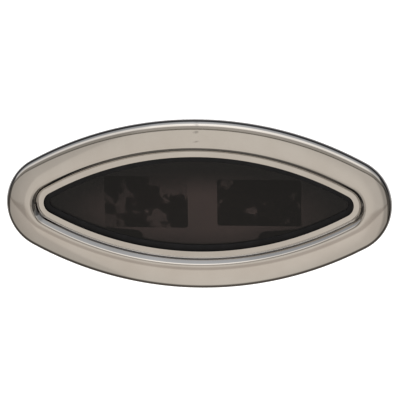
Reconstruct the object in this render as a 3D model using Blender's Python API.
"""Opening porthole: a long oval boat portlight whose sash opens inboard on a top hinge.

Frame: X runs along the long axis, to the right as seen from outside the boat. +Y points into the
cabin and +Z is up. The origin is the middle of the oval, in the plane of the hull's outer skin.
All sizes are in metres.

Every ring is one cross-section carried round the same four-arc oval. A section's points are
(offset, depth). Offset is the distance outwards from the edge of the daylight opening. Depth is Y,
so what stands outboard of the hull's skin has a negative depth.
"""
import math

import bmesh
import bpy
from mathutils import Matrix, Vector

# ---- Driving dimensions -------------------------------------------------------------------------

# The daylight opening, which every ring is offset from
OPENING_LENGTH = 0.3550
OPENING_HEIGHT = 0.1104
TIP_RADIUS = 0.0129

# The hull it is clamped to
HULL_THICKNESS = 0.0160

# Clearances
GAP = 0.0003                # between two faces that touch
SCREW_CLEARANCE = 0.0004    # a hole's radius over its screw's
SWING_CLEARANCE = 0.0022    # between the sash and the bore that it swings out of

# Trim ring: pressed sheet that covers the joint outside
TRIM_SHEET = 0.0015
TRIM_WIDTH = 0.0430
CREST_OFFSET = 0.0145
CREST_HEIGHT = 0.0150
FOOT_BEND_RADIUS = 0.0010
CREST_BEND_RADIUS = 0.0024
RIM_HEIGHT = 0.0020
DOME_FULLNESS = 2.4         # 2 is an ellipse, more is squarer
BOSS_RADIUS = 0.0050
BOSS_ROOF = 0.0015          # left over a blind screw hole

# Main frame: outer plate, the lip round the opening, and the spigot through the hull
LIP_WIDTH = 0.0060
LIP_CHAMFER = 0.0005
PLATE_THICKNESS = 0.0024
PLATE_WIDTH = 0.0300
SPIGOT_WALL = 0.0027
SPIGOT_SETBACK = 0.0025     # the spigot ends this far short of the hinge axis

# Seals
HULL_GASKET_THICKNESS = 0.0018
HULL_GASKET_MARGIN = 0.0010
COMPRESSION_GASKET_HEIGHT = 0.0020
COMPRESSION_GASKET_INSET = 0.0009
SEAL_OUTBOARD_LEG = 0.0012
SEAL_INBOARD_LEG = 0.0010
SEAL_WEB = 0.0012
SEAL_TAPER = 0.0007

# Sash and pane
SASH_OFFSET = 0.0042
SASH_WALL = 0.0014
SASH_FLANGE = 0.0020
SASH_REACH = 0.0060         # how far the sash and its seal reach over the pane
PANE_THICKNESS = 0.0060

# Inboard clamp ring and its screws
CLAMP_THICKNESS = 0.0025
CLAMP_WIDTH = 0.0330
CLAMP_CHAMFER = 0.0006
SCREW_COUNT = 10
SCREW_OFFSET = 0.0240
SCREW_RADIUS = 0.0024
SCREW_HEAD_RADIUS = 0.0046
SCREW_HEAD_HEIGHT = 0.0028
SCREW_TIP_ROOM = 0.0010     # left in the boss past the screw's tip

# Hinge along the top
HINGE_STANDOFF = 0.0059     # axis behind the sash
HINGE_RISE = 0.0018         # axis above the daylight opening
PIN_RADIUS = 0.0018
BARREL_RADIUS = 0.0036
BARREL_HALF_LENGTH = 0.0256
HINGE_WASHER = 0.0013
LUG_WIDTH = 0.0070
LUG_ROOT_DEPTH = 0.0044
LUG_STANDOFF = 0.0008       # lug's root behind the sash
PIN_HEAD_RADIUS = 0.0034
PIN_HEAD_LENGTH = 0.0017
PIN_TAIL = 0.0020
CLIP_WIDTH = 0.0008
CLIP_RADIUS = 0.0034
LEAF_THICKNESS = 0.0020
LEAF_HALF_LENGTH = 0.0240
LEAF_DROP = 0.0075
LEAF_RISE = 0.0010
LEAF_WEB_HEIGHT = 0.0022
LEAF_SCREW_X = (-0.0190, -0.0090, 0.0090, 0.0190)
LEAF_SCREW_DROP = 0.0050
LEAF_SCREW_RADIUS = 0.0014
LEAF_SCREW_HEAD_RADIUS = 0.0026

# Latches along the bottom: a dog on each side that turns under a keeper
LATCH_SPACING = 0.1500
LATCH_OFFSET = -0.0025
LATCH_BOSS_RADIUS = 0.0065
LATCH_BOSS_HEIGHT = 0.0016
LATCH_THREAD_RADIUS = 0.0020
LATCH_SHOULDER_RADIUS = 0.0025
LATCH_HEAD_RADIUS = 0.0045
LATCH_HEAD_HEIGHT = 0.0022
LATCH_WASHER = 0.0008
LATCH_WASHER_RADIUS = 0.0060
CAM_THICKNESS = 0.0024
CAM_HUB_RADIUS = 0.0070
CAM_REACH = 0.0111
CAM_WIDTH = 0.0070
LEVER_THICKNESS = 0.0050
LEVER_HUB_RADIUS = 0.0080
LEVER_TIP_RADIUS = 0.0040
LEVER_LENGTH = 0.0340
BUSH_HALF_WIDTH = 0.0034    # a square sleeve that keys the lever to the cam
KEEPER_HALF_LENGTH = 0.0130
KEEPER_SLOT_HALF_LENGTH = 0.0090
KEEPER_BAR = 0.0023
KEEPER_SHRINK = 0.0002      # keeper's faces inside the spigot wall's
KEEPER_ROOT = 0.0020

# Blank labels on the pane's cabin side
LABEL_THICKNESS = 0.0002
LABEL_LENGTH = 0.0960
LABEL_LEFT_X = -0.0606
LABEL_RIGHT_X = 0.0693
LABEL_MARGIN = 0.0019

# Facets
SIDE_STEPS = 16             # along each long arc, even so that a corner is at the top
TIP_STEPS = 12              # round each tip, even so that a corner is at the end
WALL_BEND_STEPS = 4
DOME_STEPS = 8
HOLE_STEPS = 14
TURNED_STEPS = 16
MERGE_DISTANCE = 0.000001

# ---- The four-arc oval --------------------------------------------------------------------------

HALF_HEIGHT = OPENING_HEIGHT / 2
TIP_X = OPENING_LENGTH / 2 - TIP_RADIUS
SIDE_RADIUS = (TIP_X**2 + HALF_HEIGHT**2 - TIP_RADIUS**2) / (2 * (HALF_HEIGHT - TIP_RADIUS))
SIDE_DROP = SIDE_RADIUS - HALF_HEIGHT
SIDE_ANGLE = math.asin(TIP_X / (SIDE_RADIUS - TIP_RADIUS))
TIP_ANGLE = math.pi - 2 * SIDE_ANGLE
UPPER_CENTRE = Vector((0, 0, -SIDE_DROP))
LOWER_CENTRE = Vector((0, 0, SIDE_DROP))
RIGHT_CENTRE = Vector((TIP_X, 0, 0))
LEFT_CENTRE = Vector((-TIP_X, 0, 0))

# Once round from the top: each arc's centre, angle, radius at no offset, and facets
ARCS = (
    (UPPER_CENTRE, SIDE_ANGLE, SIDE_RADIUS, SIDE_STEPS // 2),
    (RIGHT_CENTRE, TIP_ANGLE, TIP_RADIUS, TIP_STEPS),
    (LOWER_CENTRE, 2 * SIDE_ANGLE, SIDE_RADIUS, SIDE_STEPS),
    (LEFT_CENTRE, TIP_ANGLE, TIP_RADIUS, TIP_STEPS),
    (UPPER_CENTRE, SIDE_ANGLE, SIDE_RADIUS, SIDE_STEPS // 2),
)

# ---- Places worked out from the driving dimensions -----------------------------------------------

# Stack outboard of the hull's skin
PLATE_BACK = -(HULL_GASKET_THICKNESS + GAP)
PLATE_FACE = PLATE_BACK - PLATE_THICKNESS
TRIM_SEAT = PLATE_FACE - GAP

# Sash stack, from its outboard edge to its cabin side
BORE_OFFSET = SASH_OFFSET + SWING_CLEARANCE
SPIGOT_OFFSET = BORE_OFFSET + SPIGOT_WALL
SASH_FRONT = PLATE_BACK + GAP + COMPRESSION_GASKET_HEIGHT + GAP
PANE_FRONT = SASH_FRONT + SEAL_OUTBOARD_LEG + GAP
PANE_BACK = PANE_FRONT + PANE_THICKNESS
SEAL_BACK = PANE_BACK + GAP + SEAL_INBOARD_LEG
FLANGE_FRONT = SEAL_BACK + GAP
SASH_BACK = FLANGE_FRONT + SASH_FLANGE
SEAL_OFFSET = SASH_OFFSET - SASH_WALL - GAP
PANE_OFFSET = SEAL_OFFSET - SEAL_WEB - GAP

# Hinge
HINGE_Y = SASH_BACK + HINGE_STANDOFF
HINGE_Z = HALF_HEIGHT + HINGE_RISE
SPIGOT_END = HINGE_Y - SPIGOT_SETBACK
PIN_HOLE_RADIUS = PIN_RADIUS + GAP
WASHER_START = BARREL_HALF_LENGTH + GAP
LUG_START = WASHER_START + HINGE_WASHER + GAP
LUG_END = LUG_START + LUG_WIDTH
LEAF_FACE = SASH_BACK + GAP
LEAF_BACK = LEAF_FACE + LEAF_THICKNESS
LEAF_SCREW_Z = HINGE_Z - LEAF_SCREW_DROP

# Clamp ring and its screws
CLAMP_BACK = HULL_THICKNESS + CLAMP_THICKNESS
SCREW_HOLE_RADIUS = SCREW_RADIUS + SCREW_CLEARANCE
SCREW_SEAT = CLAMP_BACK + GAP

# Latches, on the lower arc; each stands square to the sash's edge
LATCH_TILT = math.asin(LATCH_SPACING / 2 / (SIDE_RADIUS + LATCH_OFFSET))
LATCH_Z = SIDE_DROP - (SIDE_RADIUS + LATCH_OFFSET) * math.cos(LATCH_TILT)
LATCH_BOSS_BACK = SASH_BACK + LATCH_BOSS_HEIGHT
LATCH_WASHER_FACE = LATCH_BOSS_BACK + GAP
CAM_FACE = LATCH_WASHER_FACE + LATCH_WASHER + GAP
CAM_BACK = CAM_FACE + CAM_THICKNESS
LEVER_FACE = CAM_BACK + GAP
LEVER_BACK = LEVER_FACE + LEVER_THICKNESS
KEEPER_SLOT_FRONT = CAM_FACE - GAP
KEEPER_SLOT_BACK = CAM_BACK + GAP
KEEPER_BACK = KEEPER_SLOT_BACK + KEEPER_BAR

# A turn that takes a shape drawn along +Z to lie along +Y, and one that takes it to +X
ALONG_Y = Matrix.Rotation(math.radians(-90), 4, "X")
ALONG_X = Matrix.Rotation(math.radians(90), 4, "Y")


# ---- Geometry helpers ---------------------------------------------------------------------------

def oval_point(offset, fraction):
    """The point a fraction of the way round the oval at an offset, from the top towards +X."""
    point = Vector((0, 0, HALF_HEIGHT + offset))
    lengths = [(radius + offset) * angle for centre, angle, radius, steps in ARCS]
    remaining = fraction * sum(lengths)
    for (centre, angle, radius, steps), length in zip(ARCS, lengths):
        share = min(remaining / length, 1)
        point = centre + Matrix.Rotation(angle * share, 3, "Y") @ (point - centre)
        remaining -= share * length
    return point


def edge_z(x, offset):
    """Height of the upper long arc at x and an offset."""
    return math.sqrt((SIDE_RADIUS + offset)**2 - x**2) - SIDE_DROP


def screw_points():
    """The middles of the clamp screws, evenly spaced round the oval."""
    return [oval_point(SCREW_OFFSET, (i + 0.5) / SCREW_COUNT) for i in range(SCREW_COUNT)]


def arc_points(centre, radius, start, turn, steps):
    """Points on an arc in a section, with angles from +offset towards -depth."""
    angles = [start + turn * i / steps for i in range(steps + 1)]
    return [(centre[0] + radius * math.cos(a), centre[1] - radius * math.sin(a)) for a in angles]


def trim_curve():
    """The trim ring's outer surface from its foot on the land to its rim on the hull."""
    foot_depth = TRIM_SEAT - TRIM_SHEET
    width = CREST_OFFSET - LIP_WIDTH
    height = CREST_HEIGHT + foot_depth
    bends = FOOT_BEND_RADIUS + CREST_BEND_RADIUS
    slope = math.atan2(height - bends, width)
    slope += math.asin(bends / math.hypot(width, height - bends))

    foot_centre = (LIP_WIDTH, foot_depth - FOOT_BEND_RADIUS)
    crest_centre = (CREST_OFFSET, -CREST_HEIGHT + CREST_BEND_RADIUS)
    quarter = math.pi / 2
    foot = arc_points(foot_centre, FOOT_BEND_RADIUS, -quarter, slope, WALL_BEND_STEPS)
    crest = arc_points(crest_centre, CREST_BEND_RADIUS, quarter + slope, -slope, WALL_BEND_STEPS)

    span = TRIM_WIDTH - CREST_OFFSET
    rise = CREST_HEIGHT - RIM_HEIGHT
    power = 2 / DOME_FULLNESS
    dome = []
    for i in range(1, DOME_STEPS + 1):
        angle = quarter * i / DOME_STEPS
        across = span * math.sin(angle)**power
        depth = -RIM_HEIGHT - rise * max(math.cos(angle), 0)**power
        dome.append((CREST_OFFSET + across, depth))
    return foot + crest + dome + [(TRIM_WIDTH, 0)]


def inner_curve(curve, thickness):
    """A curve's copy one thickness inboard of it. Its ends keep to the planes they stand on."""
    inner = []
    for i, (offset, depth) in enumerate(curve):
        before = curve[max(i - 1, 0)]
        after = curve[min(i + 1, len(curve) - 1)]
        along = Vector((after[0] - before[0], after[1] - before[1])).normalized()
        inner.append((offset - along.y * thickness, depth + along.x * thickness))
    inner[0] = (curve[0][0], curve[0][1] + thickness)
    inner[-1] = (curve[-1][0] - thickness, curve[-1][1])
    return inner


def dome_depth(offset):
    """Depth of the dome's outer surface at an offset outside the crest."""
    across = (offset - CREST_OFFSET) / (TRIM_WIDTH - CREST_OFFSET)
    rise = CREST_HEIGHT - RIM_HEIGHT
    return -RIM_HEIGHT - rise * (1 - across**DOME_FULLNESS)**(1 / DOME_FULLNESS)


# ---- Mesh helpers -------------------------------------------------------------------------------

def remove_everything():
    for obj in list(bpy.data.objects):
        bpy.data.objects.remove(obj, do_unlink=True)


def material(name, colour, roughness, metallic=0.0, alpha=1.0):
    made = bpy.data.materials.new(name)
    made.use_nodes = True
    shader = made.node_tree.nodes["Principled BSDF"]
    shader.inputs["Base Color"].default_value = (*colour, 1)
    shader.inputs["Roughness"].default_value = roughness
    shader.inputs["Metallic"].default_value = metallic
    shader.inputs["Alpha"].default_value = alpha
    return made


def to_mesh(bm, name):
    """Close the bmesh's seams, face it outwards and make a smooth mesh with sharp corners."""
    bmesh.ops.remove_doubles(bm, verts=bm.verts, dist=MERGE_DISTANCE)
    bmesh.ops.recalc_face_normals(bm, faces=bm.faces)
    mesh = bpy.data.meshes.new(name)
    bm.to_mesh(mesh)
    bm.free()
    mesh.shade_smooth()
    mesh.set_sharp_from_angle(angle=math.radians(35))
    return mesh


def piece(name, mesh, finish):
    """A named piece of the porthole with its own material."""
    obj = bpy.data.objects.new(name, mesh)
    if not mesh.materials:
        mesh.materials.append(finish)
    bpy.context.scene.collection.objects.link(obj)
    return obj


def shape_with(target, bm, operation, name):
    """Cut a hidden tool shape out of a piece, or join it on."""
    tool = bpy.data.objects.new(name, to_mesh(bm, name))
    bpy.context.scene.collection.objects.link(tool)
    tool.parent = target
    tool.hide_render = True
    tool.display_type = "WIRE"
    boolean = target.modifiers.new(name, "BOOLEAN")
    boolean.operation = operation
    boolean.solver = "EXACT"
    boolean.object = tool


def add_ring(bm, section):
    """Spin a closed (offset, depth) section through the oval's arcs."""
    corners = [bm.verts.new((0, depth, HALF_HEIGHT + offset)) for offset, depth in section]
    sides = [bm.edges.new(pair) for pair in zip(corners, corners[1:] + corners[:1])]
    leading = corners + sides
    for centre, angle, radius, steps in ARCS:
        spun = bmesh.ops.spin(bm, geom=leading, cent=centre, axis=(0, 1, 0), angle=angle, steps=steps)
        leading = spun["geom_last"]


def ring(name, section, finish):
    bm = bmesh.new()
    add_ring(bm, section)
    return piece(name, to_mesh(bm, name), finish)


def add_plate(bm, offset, front, back):
    """A solid plate with the oval's outline at an offset."""
    start = bm.verts.new((0, front, HALF_HEIGHT + offset))
    leading = [start]
    for centre, angle, radius, steps in ARCS:
        spun = bmesh.ops.spin(bm, geom=leading, cent=centre, axis=(0, 1, 0), angle=angle, steps=steps)
        leading = spun["geom_last"]
    bmesh.ops.remove_doubles(bm, verts=bm.verts, dist=MERGE_DISTANCE)
    face = bmesh.ops.edgeloop_fill(bm, edges=bm.edges)["faces"]
    grown = bmesh.ops.extrude_face_region(bm, geom=face)
    corners = [item for item in grown["geom"] if isinstance(item, bmesh.types.BMVert)]
    bmesh.ops.translate(bm, verts=corners, vec=(0, back - front, 0))


def add_lower_block(bm, low_offset, high_offset, front, back, middle_x, half_length, steps):
    """A block that follows the lower long arc on both sides of middle_x."""
    first, last = [
        math.pi - math.asin((middle_x + side * half_length) / (SIDE_RADIUS + low_offset))
        for side in (1, -1)
    ]
    section = ((low_offset, front), (high_offset, front), (high_offset, back), (low_offset, back))
    spoke = Vector((math.sin(first), 0, math.cos(first)))
    corners = [
        bm.verts.new(LOWER_CENTRE + spoke * (SIDE_RADIUS + offset) + Vector((0, depth, 0)))
        for offset, depth in section
    ]
    face = bm.faces.new(corners)
    bmesh.ops.spin(
        bm, geom=[face], cent=LOWER_CENTRE, axis=(0, 1, 0), angle=last - first, steps=steps)


def add_cylinder(bm, radius, start, end, place=Vector((0, 0, 0)), along=ALONG_Y, steps=HOLE_STEPS,
                 end_radius=None, turn=0.0):
    """A cylinder or cone between two distances along an axis through place."""
    middle = Matrix.Translation((0, 0, (start + end) / 2))
    matrix = Matrix.Translation(place) @ along @ middle @ Matrix.Rotation(turn, 4, "Z")
    bmesh.ops.create_cone(
        bm, cap_ends=True, segments=steps, radius1=radius,
        radius2=radius if end_radius is None else end_radius, depth=end - start, matrix=matrix)


def add_box(bm, low, high):
    low, high = Vector(low), Vector(high)
    matrix = Matrix.Translation((low + high) / 2) @ Matrix.Diagonal((*(high - low), 1))
    bmesh.ops.create_cube(bm, size=1, matrix=matrix)


def wrap(bm):
    """Replace what is drawn by the tight skin around it."""
    hull = bmesh.ops.convex_hull(bm, input=bm.verts, use_existing_faces=False)
    inside = hull["geom_interior"] + hull["geom_unused"]
    loose = [item for item in inside if isinstance(item, bmesh.types.BMVert) and item.is_valid]
    bmesh.ops.delete(bm, geom=loose, context="VERTS")
    spare = [face for face in bm.faces if len(face.verts) > 3]
    bmesh.ops.delete(bm, geom=spare, context="FACES_ONLY")
    flat = math.radians(1)
    bmesh.ops.dissolve_limit(bm, angle_limit=flat, verts=bm.verts, edges=bm.edges)


def add_turned(bm, profile, place=(0, 0, 0), along=ALONG_Y, steps=TURNED_STEPS):
    """Turn a (radius, distance) profile about an axis. A ring's profile closes on itself."""
    place = Vector(place)
    corners = [
        bm.verts.new(place + along @ Vector((radius, 0, distance))) for radius, distance in profile]
    sides = [bm.edges.new(pair) for pair in zip(corners, corners[1:])]
    if profile[0][0] > 0:
        sides.append(bm.edges.new((corners[-1], corners[0])))
    axis = along.to_3x3() @ Vector((0, 0, 1))
    bmesh.ops.spin(
        bm, geom=corners + sides, cent=place, axis=axis, angle=2 * math.pi, steps=steps,
        use_merge=True)


def turned(name, profile, along=ALONG_Y):
    bm = bmesh.new()
    add_turned(bm, profile, along=along)
    return to_mesh(bm, name)


def tube_profile(inner, outer, start, end):
    return ((inner, start), (outer, start), (outer, end), (inner, end))


# ---- Finishes -----------------------------------------------------------------------------------

def polished_steel():
    return material("polished_steel", (0.72, 0.70, 0.66), 0.10, metallic=1.0)


def satin_steel():
    return material("satin_steel", (0.60, 0.59, 0.57), 0.30, metallic=1.0)


def black_rubber():
    return material("black_rubber", (0.012, 0.012, 0.013), 0.55)


def black_nylon():
    return material("black_nylon", (0.02, 0.02, 0.022), 0.42)


def smoked_acrylic():
    return material("smoked_acrylic", (0.05, 0.038, 0.034), 0.05, alpha=0.88)


def label_film():
    return material("label_film", (0.78, 0.77, 0.74), 0.6)


# ---- Pieces that stay on the hull ----------------------------------------------------------------

def make_trim_ring(finish):
    """Pressed and polished cover with blind screw bosses welded inside."""
    outer = trim_curve()
    inner = inner_curve(outer, TRIM_SHEET)
    cover = ring("trim_ring", outer + inner[::-1], finish)

    boss_top = dome_depth(SCREW_OFFSET + BOSS_RADIUS) + TRIM_SHEET / 4
    bosses, holes = bmesh.new(), bmesh.new()
    for point in screw_points():
        add_cylinder(bosses, BOSS_RADIUS, boss_top, TRIM_SEAT, point)
        add_cylinder(holes, SCREW_HOLE_RADIUS, boss_top + BOSS_ROOF, TRIM_SEAT + GAP, point)
    shape_with(cover, bosses, "UNION", "trim_bosses")
    shape_with(cover, holes, "DIFFERENCE", "trim_boss_holes")
    return cover, boss_top


def add_hinge_lug(bm, side):
    """One lug: a skin drawn round the barrel's end and a root sunk into the spigot wall."""
    low, high = sorted((side * LUG_START, side * LUG_END))
    root_top = edge_z((low + high) / 2, BORE_OFFSET + SPIGOT_WALL / 2)
    root_y = SASH_BACK + LUG_STANDOFF
    lug = bmesh.new()
    add_cylinder(lug, BARREL_RADIUS, low, high, (0, HINGE_Y, HINGE_Z), ALONG_X, TURNED_STEPS)
    add_box(lug, (low, root_y, HINGE_Z), (high, root_y + LUG_ROOT_DEPTH, root_top))
    wrap(lug)
    shape = bpy.data.meshes.new("lug")
    lug.to_mesh(shape)
    lug.free()
    bm.from_mesh(shape)
    bpy.data.meshes.remove(shape)


def make_main_frame(finish):
    """Cast frame: plate and lip outside, spigot through the hull, hinge lugs and latch keepers."""
    section = (
        (LIP_CHAMFER, PLATE_FACE), (0, PLATE_FACE + LIP_CHAMFER), (0, PLATE_BACK),
        (BORE_OFFSET, PLATE_BACK), (BORE_OFFSET, SPIGOT_END), (SPIGOT_OFFSET, SPIGOT_END),
        (SPIGOT_OFFSET, PLATE_BACK), (PLATE_WIDTH, PLATE_BACK), (PLATE_WIDTH, PLATE_FACE),
    )
    frame = ring("main_frame", section, finish)

    additions, cuts = bmesh.new(), bmesh.new()
    for side in (-1, 1):
        add_hinge_lug(additions, side)
        latch_x = side * LATCH_SPACING / 2
        add_lower_block(
            additions, BORE_OFFSET + KEEPER_SHRINK, SPIGOT_OFFSET - KEEPER_SHRINK,
            SPIGOT_END - KEEPER_ROOT, KEEPER_BACK, latch_x, KEEPER_HALF_LENGTH, 4)
        add_lower_block(
            cuts, BORE_OFFSET - SPIGOT_WALL, SPIGOT_OFFSET + SPIGOT_WALL,
            KEEPER_SLOT_FRONT, KEEPER_SLOT_BACK, latch_x, KEEPER_SLOT_HALF_LENGTH, 3)
    for point in screw_points():
        add_cylinder(cuts, SCREW_HOLE_RADIUS, PLATE_FACE - GAP, PLATE_BACK + GAP, point)
    reach = LUG_END + GAP
    add_cylinder(cuts, PIN_HOLE_RADIUS, -reach, reach, (0, HINGE_Y, HINGE_Z), ALONG_X)
    shape_with(frame, additions, "UNION", "frame_lugs_and_keepers")
    shape_with(frame, cuts, "DIFFERENCE", "frame_holes_and_slots")
    return frame


def make_hull_gasket(finish):
    """Flat gasket between the frame's plate and the hull."""
    inner = SPIGOT_OFFSET + HULL_GASKET_MARGIN
    outer = PLATE_WIDTH - HULL_GASKET_MARGIN
    front = -HULL_GASKET_THICKNESS
    gasket = ring("hull_gasket", ((inner, front), (inner, 0), (outer, 0), (outer, front)), finish)
    holes = bmesh.new()
    for point in screw_points():
        add_cylinder(holes, SCREW_HOLE_RADIUS, front - GAP, GAP, point)
    shape_with(gasket, holes, "DIFFERENCE", "gasket_holes")
    return gasket


def make_compression_gasket(finish):
    """Rubber ring behind the lip that the closed sash presses on."""
    inner = COMPRESSION_GASKET_INSET
    outer = BORE_OFFSET - SPIGOT_WALL / 2
    front = PLATE_BACK + GAP
    back = front + COMPRESSION_GASKET_HEIGHT
    shoulder = (front + back) / 2
    bulge = (outer - inner) / 4
    section = (
        (inner, front), (inner, shoulder), (inner + bulge, back),
        (outer - bulge, back), (outer, shoulder), (outer, front),
    )
    return ring("compression_gasket", section, finish)


def make_clamp_ring(finish):
    """Flat ring on the cabin side that clamps the hull."""
    inner = SPIGOT_OFFSET + SCREW_CLEARANCE
    section = (
        (inner, HULL_THICKNESS), (inner, CLAMP_BACK - CLAMP_CHAMFER),
        (inner + CLAMP_CHAMFER, CLAMP_BACK), (CLAMP_WIDTH - CLAMP_CHAMFER, CLAMP_BACK),
        (CLAMP_WIDTH, CLAMP_BACK - CLAMP_CHAMFER), (CLAMP_WIDTH, HULL_THICKNESS),
    )
    clamp = ring("clamp_ring", section, finish)
    holes = bmesh.new()
    for point in screw_points():
        add_cylinder(holes, SCREW_HOLE_RADIUS, HULL_THICKNESS - GAP, CLAMP_BACK + GAP, point)
    shape_with(clamp, holes, "DIFFERENCE", "clamp_holes")
    return clamp


def make_clamp_screws(finish, boss_top):
    """Pan-head screws from the clamp ring to the trim ring's bosses."""
    tip = boss_top + BOSS_ROOF + SCREW_TIP_ROOM
    crown = SCREW_SEAT + SCREW_HEAD_HEIGHT
    profile = (
        (0, tip), (SCREW_RADIUS * 0.6, tip), (SCREW_RADIUS, tip + SCREW_RADIUS / 2),
        (SCREW_RADIUS, SCREW_SEAT), (SCREW_HEAD_RADIUS, SCREW_SEAT),
        (SCREW_HEAD_RADIUS, crown - SCREW_HEAD_HEIGHT / 2),
        (SCREW_HEAD_RADIUS * 0.7, crown), (0, crown),
    )
    mesh = turned("clamp_screw", profile)
    for i, point in enumerate(screw_points()):
        screw = piece(f"clamp_screw_{i + 1:02d}", mesh, finish)
        screw.location = point


def make_hinge_pin(finish):
    """Headed pin through both lugs and the leaf."""
    head_end = -LUG_END - GAP
    tail_end = LUG_END + PIN_TAIL
    chamfer = PIN_RADIUS / 4
    profile = (
        (0, head_end - PIN_HEAD_LENGTH), (PIN_HEAD_RADIUS * 0.8, head_end - PIN_HEAD_LENGTH),
        (PIN_HEAD_RADIUS, head_end - PIN_HEAD_LENGTH / 2), (PIN_HEAD_RADIUS, head_end),
        (PIN_RADIUS, head_end), (PIN_RADIUS, tail_end - chamfer),
        (PIN_RADIUS - chamfer, tail_end), (0, tail_end),
    )
    pin = piece("hinge_pin", turned("hinge_pin", profile, ALONG_X), finish)
    pin.location = (0, HINGE_Y, HINGE_Z)


def make_hinge_pin_clip(finish):
    """Ring that keeps the pin in the lugs."""
    start = LUG_END + GAP
    profile = tube_profile(PIN_HOLE_RADIUS, CLIP_RADIUS, start, start + CLIP_WIDTH)
    clip = piece("hinge_pin_clip", turned("hinge_pin_clip", profile, ALONG_X), finish)
    clip.location = (0, HINGE_Y, HINGE_Z)


# ---- Pieces that swing with the sash -------------------------------------------------------------

def pivot(name, place, turn=0.0, parent=None):
    """An empty on a joint's axis, which carries the pieces that turn about it."""
    empty = bpy.data.objects.new(name, None)
    bpy.context.scene.collection.objects.link(empty)
    empty.parent = parent
    empty.location = Vector(place) - (parent.location if parent else Vector((0, 0, 0)))
    empty.rotation_euler = (0, turn, 0)
    return empty


def carry(obj, hinge, place=(0, 0, 0)):
    """Hang a piece on the sash's pivot, with its own origin at a place in the porthole's frame."""
    obj.parent = hinge
    obj.location = Vector(place) - hinge.location
    return obj


def latch_place(side):
    return Vector((side * LATCH_SPACING / 2, 0, LATCH_Z))


def make_sash_frame(finish):
    """Angle-section frame round the pane, with a boss for each latch."""
    section = (
        (SASH_OFFSET, SASH_FRONT), (SASH_OFFSET, SASH_BACK), (-SASH_REACH, SASH_BACK),
        (-SASH_REACH, FLANGE_FRONT), (SASH_OFFSET - SASH_WALL, FLANGE_FRONT),
        (SASH_OFFSET - SASH_WALL, SASH_FRONT),
    )
    sash = ring("sash_frame", section, finish)
    bosses, holes = bmesh.new(), bmesh.new()
    for side in (-1, 1):
        place = latch_place(side)
        add_cylinder(bosses, LATCH_BOSS_RADIUS, FLANGE_FRONT + GAP, LATCH_BOSS_BACK, place, steps=20)
        hole = LATCH_THREAD_RADIUS + GAP
        add_cylinder(holes, hole, FLANGE_FRONT - GAP, LATCH_BOSS_BACK + GAP, place)
    for x in LEAF_SCREW_X:
        hole = LEAF_SCREW_RADIUS + GAP
        add_cylinder(holes, hole, FLANGE_FRONT - GAP, SASH_BACK + GAP, (x, 0, LEAF_SCREW_Z))
    shape_with(sash, bosses, "UNION", "sash_bosses")
    shape_with(sash, holes, "DIFFERENCE", "sash_holes")
    return sash


def make_glazing_seal(finish):
    """Channel-section rubber round the pane's edge."""
    web = SEAL_OFFSET - SEAL_WEB
    section = (
        (-SASH_REACH + SEAL_TAPER / 2, SASH_FRONT),
        (-SASH_REACH - SEAL_TAPER / 2, PANE_FRONT - GAP), (web, PANE_FRONT - GAP),
        (web, PANE_BACK + GAP), (-SASH_REACH, PANE_BACK + GAP), (-SASH_REACH, SEAL_BACK),
        (SEAL_OFFSET, SEAL_BACK), (SEAL_OFFSET, SASH_FRONT),
    )
    return ring("glazing_seal", section, finish)


def make_lens_pane(finish):
    """Smoked acrylic pane."""
    bm = bmesh.new()
    add_plate(bm, PANE_OFFSET, PANE_FRONT, PANE_BACK)
    return piece("lens_pane", to_mesh(bm, "lens_pane"), finish)


def make_label(name, middle_x, finish):
    """Blank label that comes as close to the seal as LABEL_MARGIN at its outer end."""
    outer_x = abs(middle_x) + LABEL_LENGTH / 2
    half_height = edge_z(outer_x, -SASH_REACH) - LABEL_MARGIN
    front = PANE_BACK + GAP
    bm = bmesh.new()
    add_box(
        bm, (-LABEL_LENGTH / 2, front, -half_height),
        (LABEL_LENGTH / 2, front + LABEL_THICKNESS, half_height))
    return piece(name, to_mesh(bm, name), finish)


def make_hinge_leaf(finish):
    """Leaf with its barrel, screwed to the back of the sash."""
    bm = bmesh.new()
    low_z, high_z = HINGE_Z - LEAF_DROP, HINGE_Z + LEAF_RISE
    add_box(bm, (-LEAF_HALF_LENGTH, LEAF_FACE, low_z), (LEAF_HALF_LENGTH, LEAF_BACK, high_z))
    leaf = piece("hinge_leaf", to_mesh(bm, "hinge_leaf"), finish)

    barrel = bmesh.new()
    axis = (0, HINGE_Y, HINGE_Z)
    half = BARREL_HALF_LENGTH
    add_cylinder(barrel, BARREL_RADIUS, -half, half, axis, ALONG_X, TURNED_STEPS)
    web_y = (LEAF_FACE + LEAF_BACK) / 2
    web_top = high_z - GAP
    add_box(barrel, (-half, web_y, web_top - LEAF_WEB_HEIGHT), (half, HINGE_Y, web_top))
    wrap(barrel)

    holes = bmesh.new()
    add_cylinder(holes, PIN_HOLE_RADIUS, -half - GAP, half + GAP, axis, ALONG_X)
    bore = LEAF_SCREW_RADIUS + GAP
    mouth = LEAF_SCREW_HEAD_RADIUS + 2 * GAP
    profile = (
        (0, LEAF_FACE - GAP), (bore, LEAF_FACE - GAP), (bore, LEAF_BACK + GAP - (mouth - bore)),
        (mouth, LEAF_BACK + GAP), (0, LEAF_BACK + GAP),
    )
    for x in LEAF_SCREW_X:
        add_turned(holes, profile, (x, 0, LEAF_SCREW_Z))
    shape_with(leaf, barrel, "UNION", "leaf_barrel")
    shape_with(leaf, holes, "DIFFERENCE", "leaf_holes")
    return leaf


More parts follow.
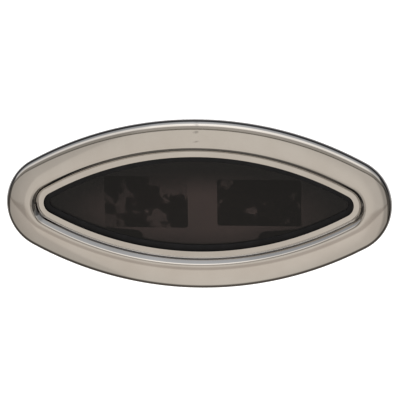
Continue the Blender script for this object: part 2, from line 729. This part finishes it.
def make_leaf_screws(finish, hinge):
    """Countersunk screws that hold the leaf to the sash."""
    sink = LEAF_SCREW_HEAD_RADIUS - LEAF_SCREW_RADIUS
    profile = (
        (0, FLANGE_FRONT), (LEAF_SCREW_RADIUS, FLANGE_FRONT),
        (LEAF_SCREW_RADIUS, LEAF_BACK - sink + GAP / 2),
        (LEAF_SCREW_HEAD_RADIUS, LEAF_BACK + GAP / 2), (0, LEAF_BACK + GAP / 2),
    )
    mesh = turned("leaf_screw", profile)
    for i, x in enumerate(LEAF_SCREW_X):
        carry(piece(f"leaf_screw_{i + 1}", mesh, finish), hinge, (x, 0, LEAF_SCREW_Z))


def make_hinge_washers(finish, hinge):
    """Washers that centre the leaf between the lugs."""
    for side, name in ((-1, "hinge_washer_left"), (1, "hinge_washer_right")):
        start, end = sorted((side * WASHER_START, side * (WASHER_START + HINGE_WASHER)))
        profile = tube_profile(PIN_HOLE_RADIUS, BARREL_RADIUS, start, end)
        washer = piece(name, turned(name, profile, ALONG_X), finish)
        carry(washer, hinge, (0, HINGE_Y, HINGE_Z))


def make_latch_pivot_screw(name, finish):
    """Shoulder screw that a latch turns on."""
    head = LEVER_BACK + GAP
    crown = head + LATCH_HEAD_HEIGHT
    profile = (
        (0, SASH_BACK - SASH_FLANGE / 2), (LATCH_THREAD_RADIUS, SASH_BACK - SASH_FLANGE / 2),
        (LATCH_THREAD_RADIUS, LATCH_WASHER_FACE), (LATCH_SHOULDER_RADIUS, LATCH_WASHER_FACE),
        (LATCH_SHOULDER_RADIUS, head), (LATCH_HEAD_RADIUS, head),
        (LATCH_HEAD_RADIUS, crown - LATCH_HEAD_HEIGHT / 3),
        (LATCH_HEAD_RADIUS * 0.85, crown), (0, crown),
    )
    return piece(name, turned(name, profile), finish)


def make_latch_washer(name, finish):
    """Thin washer between the sash's boss and the cam."""
    bore = LATCH_SHOULDER_RADIUS + GAP
    start, end = LATCH_WASHER_FACE, LATCH_WASHER_FACE + LATCH_WASHER
    return piece(name, turned(name, tube_profile(bore, LATCH_WASHER_RADIUS, start, end)), finish)


# ---- Pieces that turn with a latch, drawn about its own axis --------------------------------------

def square_hole(target, name):
    """The square hole that the bush keys into."""
    half = BUSH_HALF_WIDTH + GAP
    bm = bmesh.new()
    add_box(bm, (-half, CAM_FACE - GAP, -half), (half, LEVER_BACK + GAP, half))
    shape_with(target, bm, "DIFFERENCE", name)


def make_latch_cam(name, side, finish):
    """Steel cam whose tongue turns under the keeper. It lies along the sash when released."""
    bm = bmesh.new()
    add_cylinder(bm, CAM_HUB_RADIUS, CAM_FACE, CAM_BACK, steps=24)
    cam = piece(name, to_mesh(bm, name), finish)
    tongue = bmesh.new()
    low_x, high_x = sorted((0, -side * CAM_REACH))
    inset = GAP / 3
    add_box(
        tongue, (low_x, CAM_FACE + inset, -CAM_WIDTH / 2), (high_x, CAM_BACK - inset, CAM_WIDTH / 2))
    shape_with(cam, tongue, "UNION", name + "_tongue")
    square_hole(cam, name + "_square")
    return cam


def make_latch_lever(name, side, finish):
    """Moulded finger lever. It points along the sash at the tip when released."""
    bm = bmesh.new()
    add_cylinder(bm, LEVER_HUB_RADIUS, LEVER_FACE, LEVER_BACK, steps=24)
    tip = Vector((side * LEVER_LENGTH, 0, 0))
    add_cylinder(bm, LEVER_TIP_RADIUS, LEVER_FACE, LEVER_BACK, tip, steps=24)
    wrap(bm)
    lever = piece(name, to_mesh(bm, name), finish)
    square_hole(lever, name + "_square")
    return lever


def make_latch_bush(name, finish):
    """Square sleeve with a round bore."""
    half = BUSH_HALF_WIDTH
    bm = bmesh.new()
    add_box(bm, (-half, CAM_FACE, -half), (half, LEVER_BACK, half))
    bush = piece(name, to_mesh(bm, name), finish)
    bore = bmesh.new()
    radius = LATCH_SHOULDER_RADIUS + GAP
    add_cylinder(bore, radius, CAM_FACE - GAP, LEVER_BACK + GAP)
    shape_with(bush, bore, "DIFFERENCE", name + "_bore")
    return bush


# ---- The whole porthole -------------------------------------------------------------------------

def build():
    remove_everything()
    polished, satin = polished_steel(), satin_steel()
    rubber, nylon = black_rubber(), black_nylon()
    acrylic, film = smoked_acrylic(), label_film()

    cover, boss_top = make_trim_ring(polished)
    make_main_frame(polished)
    make_hull_gasket(rubber)
    make_compression_gasket(rubber)
    make_clamp_ring(satin)
    make_clamp_screws(satin, boss_top)
    make_hinge_pin(satin)
    make_hinge_pin_clip(satin)

    hinge = pivot("sash_pivot", (0, HINGE_Y, HINGE_Z))
    carry(make_sash_frame(satin), hinge)
    carry(make_glazing_seal(rubber), hinge)
    carry(make_lens_pane(acrylic), hinge)
    carry(make_label("label_left", LABEL_LEFT_X, film), hinge, (LABEL_LEFT_X, 0, 0))
    carry(make_label("label_right", LABEL_RIGHT_X, film), hinge, (LABEL_RIGHT_X, 0, 0))
    carry(make_hinge_leaf(satin), hinge)
    make_leaf_screws(satin, hinge)
    make_hinge_washers(nylon, hinge)

    for side, hand in ((-1, "left"), (1, "right")):
        place = latch_place(side)
        carry(make_latch_pivot_screw(f"latch_pivot_screw_{hand}", satin), hinge, place)
        carry(make_latch_washer(f"latch_washer_{hand}", nylon), hinge, place)
        latch = pivot(f"latch_pivot_{hand}", place, -side * LATCH_TILT, hinge)
        make_latch_cam(f"latch_cam_{hand}", side, satin).parent = latch
        make_latch_lever(f"latch_lever_{hand}", side, nylon).parent = latch
        make_latch_bush(f"latch_bush_{hand}", nylon).parent = latch


build()
